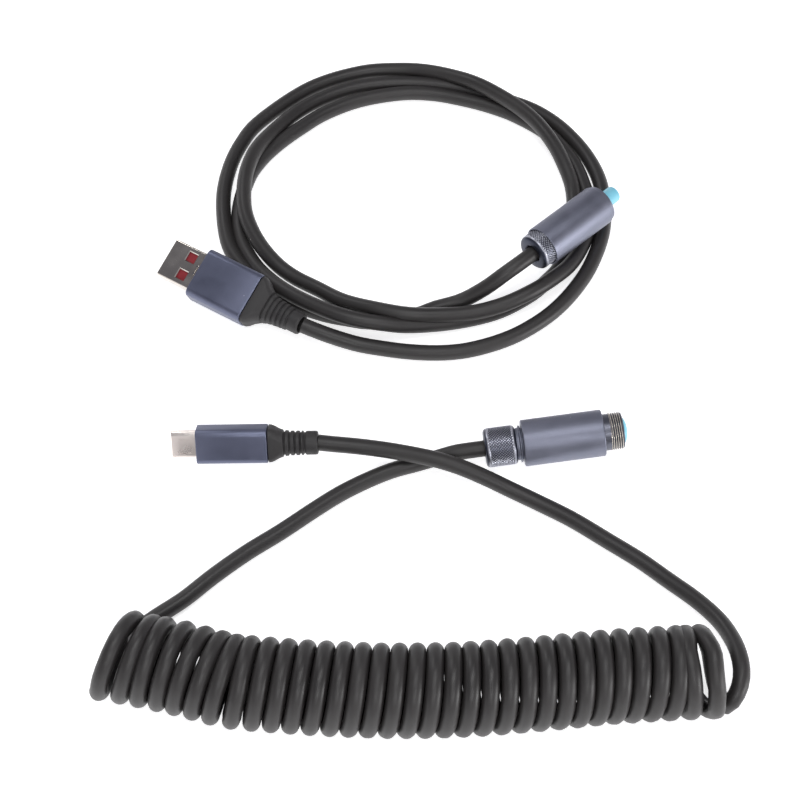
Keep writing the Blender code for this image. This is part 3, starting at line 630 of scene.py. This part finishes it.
def build_usb_a(mats, place):
    width, height = USB_A_SHELL
    shell = add_piece("usb_a_shell_look",
                      skin(shell_loops(USB_A_SHELL, 0.0006, USB_A_SHELL_WALL, USB_A_SHELL_OUT,
                                       USB_A_SHELL_IN, 0.0002), ring=True),
                      mats["nickel"], place, "host_cable", ("usb_a_shell",))
    near, far, offset, half = USB_A_WINDOW
    cutters = [block((near, side * offset - half, -height), (far, side * offset + half, height))
               for side in (-1, 1)]
    cutters += [flare((near, far), (side * offset - half, side * offset + half), height / 2 - 0.00025,
                      height / 2 + 0.00005, 0.00028) for side in (-1, 1)]
    for y in (-0.0011, 0.0011):
        eye = bmesh.new()
        bmesh.ops.create_cone(eye, cap_ends=True, segments=24, radius1=0.0002, radius2=0.0006, depth=0.0004)
        bmesh.ops.translate(eye, vec=(0.0010, y, height / 2 - 0.00008), verts=eye.verts)
        cutters.append(eye)
    cutters.append(flare((0.00085, 0.00115), (-0.0009, 0.0009), height / 2 - 0.00015,
                         height / 2 + 0.00003, 0.00015))
    cut_away(shell, cutters)

    rear = -USB_A_HOUSING_LENGTH
    add_piece("usb_a_housing_look",
              skin(housing_loops(rear, USB_A_HOUSING, USB_A_HOUSING_CORNER,
                                 (width + 0.0004, height + 0.0004), 0.0008, (0.0132, 0.0062), 0.0012,
                                 0.0003),
                   ring=True),
              mats["slate"], place, "host_cable", ("usb_a_housing",))

    end = rear - USB_A_RELIEF_LENGTH
    stations = [
        (rear - 0.0003, 0.0150, 0.0076, 0.0020), (rear - 0.0010, 0.0150, 0.0076, 0.0022),
        (rear - 0.0020, 0.0140, 0.0075, 0.0025), (rear - 0.0032, 0.0118, 0.0073, 0.0028),
        (rear - 0.0046, 0.0100, 0.0071, 0.0030), (rear - 0.0062, 0.0088, 0.0069, 0.0032),
        (rear - 0.0080, 0.0079, 0.0067, 0.0032), (end + 0.0036, 0.0069, 0.0066, 0.0031),
        (end + 0.0033, 0.0064, 0.0064, 0.00315), (end + 0.0003, 0.0064, 0.0064, 0.00318),
        (end, 0.0062, 0.0062, 0.0031),
    ]
    ribs = [(rear - 0.0052 - 0.00155 * i, 0.00032) for i in range(5)] + [(end + 0.0034, 0.0004)]
    add_piece("usb_a_relief_look",
              ribbed_relief(rear, stations, ribs, 0.00042, end, 0.0031),
              mats["relief"], place, "host_cable", ("usb_a_strain_relief",))


def build_usb_c(mats, place):
    width, height = USB_C_SHELL
    shell = add_piece("usb_c_shell_look",
                      skin(shell_loops(USB_C_SHELL, height / 2 - 0.00001, USB_C_SHELL_WALL, USB_C_SHELL_OUT,
                                       USB_C_SHELL_IN, 0.0002), ring=True),
                      mats["champagne"], place, "device_cable", ("usb_c_shell",))
    frame_cut = [block((0.0012, -0.0022, height / 2 - 0.00007), (0.0046, -0.0021, height)),
                 block((0.0012, 0.0021, height / 2 - 0.00007), (0.0046, 0.0022, height)),
                 block((0.0045, -0.0021, height / 2 - 0.00007), (0.0046, 0.0021, height))]
    cut_away(shell, frame_cut)

    rear = -USB_C_HOUSING_LENGTH
    add_piece("usb_c_housing_look",
              skin(housing_loops(rear, USB_C_HOUSING, USB_C_HOUSING_CORNER,
                                 (width + 0.0003, height + 0.0003), height / 2, (0.00874, 0.0054), 0.0012,
                                 0.0003),
                   ring=True),
              mats["slate"], place, "device_cable", ("usb_c_housing",))

    end = rear - USB_C_RELIEF_LENGTH
    stations = [
        (rear - 0.0003, 0.0098, 0.0068, 0.0018), (rear - 0.0010, 0.0098, 0.0068, 0.0020),
        (rear - 0.0020, 0.0092, 0.0067, 0.0023), (rear - 0.0032, 0.0080, 0.0066, 0.0027),
        (rear - 0.0046, 0.0072, 0.0065, 0.0030), (rear - 0.0064, 0.0068, 0.0065, 0.0031),
        (end + 0.0036, 0.0067, 0.0066, 0.0032), (end + 0.0033, 0.0066, 0.0066, 0.00325),
        (end + 0.0003, 0.0066, 0.0066, 0.00328), (end, 0.0064, 0.0064, 0.0032),
    ]
    ribs = [(rear - 0.0046 - 0.0015 * i, 0.00032) for i in range(4)] + [(end + 0.0034, 0.0004)]
    add_piece("usb_c_relief_look",
              ribbed_relief(rear, stations, ribs, 0.00042, end, 0.0032),
              mats["relief"], place, "device_cable", ("usb_c_strain_relief",))


# ---------------------------------------------------------------- aviator connectors

def knurled_nut(rear):
    """A gland nut with a diamond knurl between its smooth chamfered ends."""
    around = KNURL_COUNT * 6
    pitch = 2 * math.pi * NUT_RADIUS / KNURL_COUNT
    start = rear + 0.0010
    end = rear + NUT_LENGTH - 0.0009
    rows = round((end - start) / (pitch / 6))
    outside = [(rear, NUT_RADIUS - 0.0008), (rear + 0.0002, NUT_RADIUS - 0.00045),
               (rear + 0.0006, NUT_RADIUS - 0.0001), (rear + 0.0008, NUT_RADIUS - 0.00005)]
    loops = [circle_loop(x, radius, around) for x, radius in outside]
    for row in range(rows + 1):
        x = start + (end - start) * row / rows
        fade = min(1.0, row / 3, (rows - row) / 3)
        loop = []
        for column in range(around):
            turns = column / around * KNURL_COUNT
            climb = (x - start) / pitch
            rising = abs((turns + climb) % 1.0 - 0.5) * 2
            falling = abs((turns - climb) % 1.0 - 0.5) * 2
            height = min(1.0, 1.5 * min(rising, falling) + 0.02)
            radius = NUT_RADIUS - KNURL_DEPTH * (1 - height) * fade
            angle = 2 * math.pi * column / around
            loop.append((x, radius * math.cos(angle), radius * math.sin(angle)))
        loops.append(loop)
    front = rear + NUT_LENGTH
    inside = [(front - 0.0006, NUT_RADIUS - 0.0001), (front - 0.0002, NUT_RADIUS - 0.0004),
              (front, NUT_RADIUS - 0.0008), (front, NUT_CAVITY_RADIUS), (rear + NUT_WALL, NUT_CAVITY_RADIUS),
              (rear + NUT_WALL, CORD_BORE_RADIUS), (rear + 0.0003, CORD_BORE_RADIUS),
              (rear, CORD_BORE_RADIUS + 0.0003)]
    loops += [circle_loop(x, radius, around) for x, radius in inside]
    return skin(loops, ring=True)


def build_host_connector(mats, place):
    add_piece("host_nut_look", knurled_nut(HOST_NUT_REAR), mats["knurl"], place, "host_nut",
              ("host_gland_nut",))
    front = SLEEVE_LENGTH
    profile = [
        (0.0, SLEEVE_RADIUS), (front, SLEEVE_RADIUS), (front, 0.0056), (front + 0.0012, 0.0056),
        (front + 0.0012, 0.0053), (0.0160, 0.0053), (0.0160, 0.0057), (0.0106, 0.0057), (0.0106, 0.0047),
        (0.0086, 0.0047), (0.0086, 0.0057), (0.0, 0.0057),
    ]
    add_piece("host_sleeve_look", lathe(rounded(profile, 0.00022), sides=BARREL_SIDES), mats["gunmetal"],
              place, "host_sleeve", ("host_sleeve",))
    nose = front + 0.0072
    cap = [(0.0206, 0.0), (0.0206, 0.0035), (0.0216, 0.0035), (0.0216, 0.0025), (nose - 0.0008, 0.0025),
           (nose - 0.0003, 0.0022), (nose, 0.0016), (nose + 0.00005, 0.0)]
    loops = [circle_loop(x, max(radius, 0.00002), CAP_SIDES) for x, radius in cap]
    add_piece("host_cap_look", skin(loops), mats["cyan"], place, "host_cap", ("host_dust_cap",),
              sharp=50.0)


def threaded_shell():
    """The outside thread: one helical ridge, eased at its front end."""
    rear = 0.0270
    root = THREAD_RADIUS - 0.00015
    outside_start = BARREL_REAR + BARREL_LENGTH + THREAD_COLLAR
    per_pitch = 12
    rows = round((THREAD_END - outside_start) / THREAD_PITCH * per_pitch)
    loops = [circle_loop(rear, root), circle_loop(outside_start - 0.00002, root)]
    for row in range(rows + 1):
        x = outside_start + (THREAD_END - outside_start) * row / rows
        fade = min(1.0, row / (0.8 * per_pitch))
        chamfer = max(0.0, x - (THREAD_END - 0.0005))
        loop = []
        for column in range(ROUND_SIDES):
            share = column / ROUND_SIDES
            phase = ((x - outside_start) / THREAD_PITCH - share) % 1.0
            height = min(1.0, max(0.0, 1.35 - abs(phase - 0.5) * 3.4))
            radius = THREAD_RADIUS - THREAD_DEPTH * (1 - height) * fade
            radius = min(radius, THREAD_RADIUS - 0.9 * chamfer)
            angle = 2 * math.pi * share
            loop.append((x, radius * math.cos(angle), radius * math.sin(angle)))
        loops.append(loop)
    loops.append(circle_loop(THREAD_END, 0.0045))
    loops.append(circle_loop(THREAD_END - 0.0002, 0.0043))
    loops.append(circle_loop(rear, 0.0043))
    return skin(loops, ring=True)


def build_device_connector(mats, place):
    add_piece("device_nut_look", knurled_nut(0.0), mats["knurl"], place, "device_nut",
              ("device_gland_nut",))
    front = BARREL_REAR + BARREL_LENGTH
    profile = [
        (0.0045, 0.00435), (0.0090, 0.00435), (0.0090, 0.0045), (0.0096, 0.0045), (0.0096, 0.0051),
        (0.0101, 0.0051), (0.0101, 0.0044), (BARREL_REAR, 0.0044), (BARREL_REAR, BARREL_RADIUS),
        (front, BARREL_RADIUS), (front, 0.0055), (0.0125, 0.0055), (0.0125, 0.0030), (0.0090, 0.0030),
        (0.0090, 0.0037), (0.0045, 0.0037),
    ]
    add_piece("device_barrel_look", lathe(rounded(profile, 0.00035), sides=BARREL_SIDES), mats["gunmetal"],
              place, "device_cable", ("device_barrel",))
    add_piece("device_thread_look", threaded_shell(), mats["thread"], place, "device_cable",
              ("device_thread_shell",), sharp=SOFT_SHARP_ANGLE)
    plug = [(0.0356, 0.0036), (0.0380, 0.0036), (0.0386, 0.0034), (0.0390, 0.0028), (0.0393, 0.0018),
            (0.03945, 0.0008), (0.0395, 0.00002)]
    loops = [circle_loop(x, radius, CAP_SIDES) for x, radius in plug]
    add_piece("device_plug_look", skin(loops), mats["cyan"], place, "device_plug", ("device_dust_plug",),
              sharp=SOFT_SHARP_ANGLE)


def paint_nodes(mats):
    """Give every CAD node that still shows its finish."""
    finishes = (
        ("usb_a_tongue", "red"), ("usb_a_contact", "gold"), ("usb_a_board", "board"),
        ("usb_a_inner_block", "moulding"), ("usb_c_insulator", "moulding"), ("usb_c_upper_contacts", "gold"),
        ("usb_c_lower_contacts", "gold"), ("usb_c_left_latch", "champagne"),
        ("usb_c_right_latch", "champagne"),
        ("usb_c_board", "board"), ("usb_c_inner_block", "moulding"), ("host_thrust_washer", "nickel"),
        ("host_cord_clamp", "moulding"), ("host_body", "gunmetal"), ("host_slip_ring", "nickel"),
        ("host_pin_insert", "moulding"), ("host_pin", "gold"), ("device_thrust_washer", "nickel"),
        ("device_cord_clamp", "moulding"), ("device_socket_insert", "moulding"), ("device_socket", "gold"),
    )
    for node, obj in frame["nodes"].items():
        if obj.hide_render:
            continue
        finish = next(finish for start, finish in finishes if node.startswith(start))
        obj.data.materials.clear()
        obj.data.materials.append(mats[finish])
        obj.data.shade_smooth()
        obj.data.set_sharp_from_angle(angle=math.radians(35))


# ---------------------------------------------------------------- studio

def build_camera():
    data = bpy.data.cameras.new("camera")
    data.lens = CAMERA_LENS
    data.sensor_width = 36.0
    camera = bpy.data.objects.new("camera", data)
    tilt = math.radians(CAMERA_ELEVATION)
    back = Vector((0.0, -math.cos(tilt), math.sin(tilt)))
    camera.location = Vector(CAMERA_TARGET) + CAMERA_DISTANCE * back
    camera.rotation_euler = (math.pi / 2 - tilt, 0.0, 0.0)
    bpy.context.scene.collection.objects.link(camera)
    bpy.context.scene.camera = camera


def add_light(name, location, target, size, power):
    data = bpy.data.lights.new(name, "AREA")
    data.shape = "RECTANGLE"
    data.size, data.size_y = size
    data.energy = power
    light = bpy.data.objects.new(name, data)
    light.location = location
    light.rotation_mode = "QUATERNION"
    light.rotation_quaternion = (Vector(target) - Vector(location)).to_track_quat("-Z", "Y")
    bpy.context.scene.collection.objects.link(light)


def sky_colours(world):
    """A studio that is bright low down all round and dim overhead, where metal would mirror it."""
    tree = world.node_tree
    place = tree.nodes.new("ShaderNodeTexCoord")
    split = tree.nodes.new("ShaderNodeSeparateXYZ")
    tree.links.new(place.outputs["Generated"], split.inputs[0])
    ramp = tree.nodes.new("ShaderNodeValToRGB")
    tree.links.new(split.outputs["Z"], ramp.inputs["Fac"])
    stops = ((0.0, SKY_HORIZON), (0.30, SKY_HORIZON), (0.50, SKY_OVERHEAD), (1.0, SKY_OVERHEAD))
    while len(ramp.color_ramp.elements) < len(stops):
        ramp.color_ramp.elements.new(0.5)
    for element, (position, value) in zip(ramp.color_ramp.elements, stops):
        element.position = position
        element.color = (*value, 1.0)
    return ramp.outputs["Color"]


def build_studio():
    bm = bmesh.new()
    bmesh.ops.create_grid(bm, x_segments=8, y_segments=8, size=3.0)
    mesh = bpy.data.meshes.new("floor")
    bm.to_mesh(mesh)
    bm.free()
    floor = bpy.data.objects.new("floor", mesh)
    bpy.context.scene.collection.objects.link(floor)
    mat, shader, _, _ = surface("paper_floor", (0.90, 0.90, 0.91), (0.93, 0.93, 0.93), 0.85, 0.0,
                                3.0, 900.0, 0.00002)
    shader.inputs["Specular IOR Level"].default_value = 0.1
    shader.inputs["Emission Color"].default_value = (1.0, 1.0, 1.0, 1.0)
    shader.inputs["Emission Strength"].default_value = 0.7
    mesh.materials.append(mat)

    world = bpy.data.worlds.new("studio")
    world.use_nodes = True
    background = world.node_tree.nodes["Background"]
    ramp = sky_colours(world)
    world.node_tree.links.new(ramp, background.inputs["Color"])
    background.inputs["Strength"].default_value = 1.0
    bpy.context.scene.world = world
    middle = (0.0, -0.02, 0.0)
    add_light("key", (0.10, -0.75, 0.70), middle, (0.6, 0.25), 2.5)
    add_light("top", (0.05, -0.10, 0.95), middle, (0.7, 0.30), 3.2)
    add_light("back", (-0.45, 0.60, 0.75), middle, (0.25, 0.25), 1.5)
    add_light("side", (0.90, -0.44, 0.12), middle, (0.25, 0.15), 3.0)
    bpy.context.scene.view_settings.view_transform = "Standard"


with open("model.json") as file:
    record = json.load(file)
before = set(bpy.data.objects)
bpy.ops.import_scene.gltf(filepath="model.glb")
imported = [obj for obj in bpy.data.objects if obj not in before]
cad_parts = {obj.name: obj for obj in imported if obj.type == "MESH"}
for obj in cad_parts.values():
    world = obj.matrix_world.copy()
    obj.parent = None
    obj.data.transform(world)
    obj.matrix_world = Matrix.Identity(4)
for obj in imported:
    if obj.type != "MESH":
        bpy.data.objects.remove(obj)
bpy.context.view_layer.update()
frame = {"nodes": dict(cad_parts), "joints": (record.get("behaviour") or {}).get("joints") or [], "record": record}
record = frame["record"]
mounts = {mount["name"]: mount for mount in record["mounts"]}
joints = {joint["name"]: joint for joint in frame["joints"]}


def main():
    build_camera()
    mats = make_materials()
    build_cords(mats)
    nose_a = (USB_A_SHELL_OUT, 0.0, USB_A_SHELL[1] / 2 - USB_A_SHELL_WALL / 2)
    build_usb_a(mats, connector_frame(mounts["usb_a_nose"]["pos_m"], mounts["usb_a_nose"]["axis"],
                                      USB_A_ROLL, nose_a))
    nose_c = (USB_C_SHELL_OUT, 0.0, USB_C_SHELL[1] / 2 - USB_C_SHELL_WALL / 2)
    build_usb_c(mats, connector_frame(mounts["usb_c_nose"]["pos_m"], mounts["usb_c_nose"]["axis"],
                                      USB_C_ROLL, nose_c))
    sleeve = joints["host_sleeve_turn"]
    build_host_connector(mats, connector_frame(sleeve["pos_m"], sleeve["axis"], 0.0, (0.0, 0.0, 0.0)))
    nut = joints["device_nut_turn"]
    forward = [-value for value in nut["axis"]]
    build_device_connector(mats, connector_frame(nut["pos_m"], forward, 0.0, (0.0, 0.0, 0.0)))
    paint_nodes(mats)
    build_studio()


main()
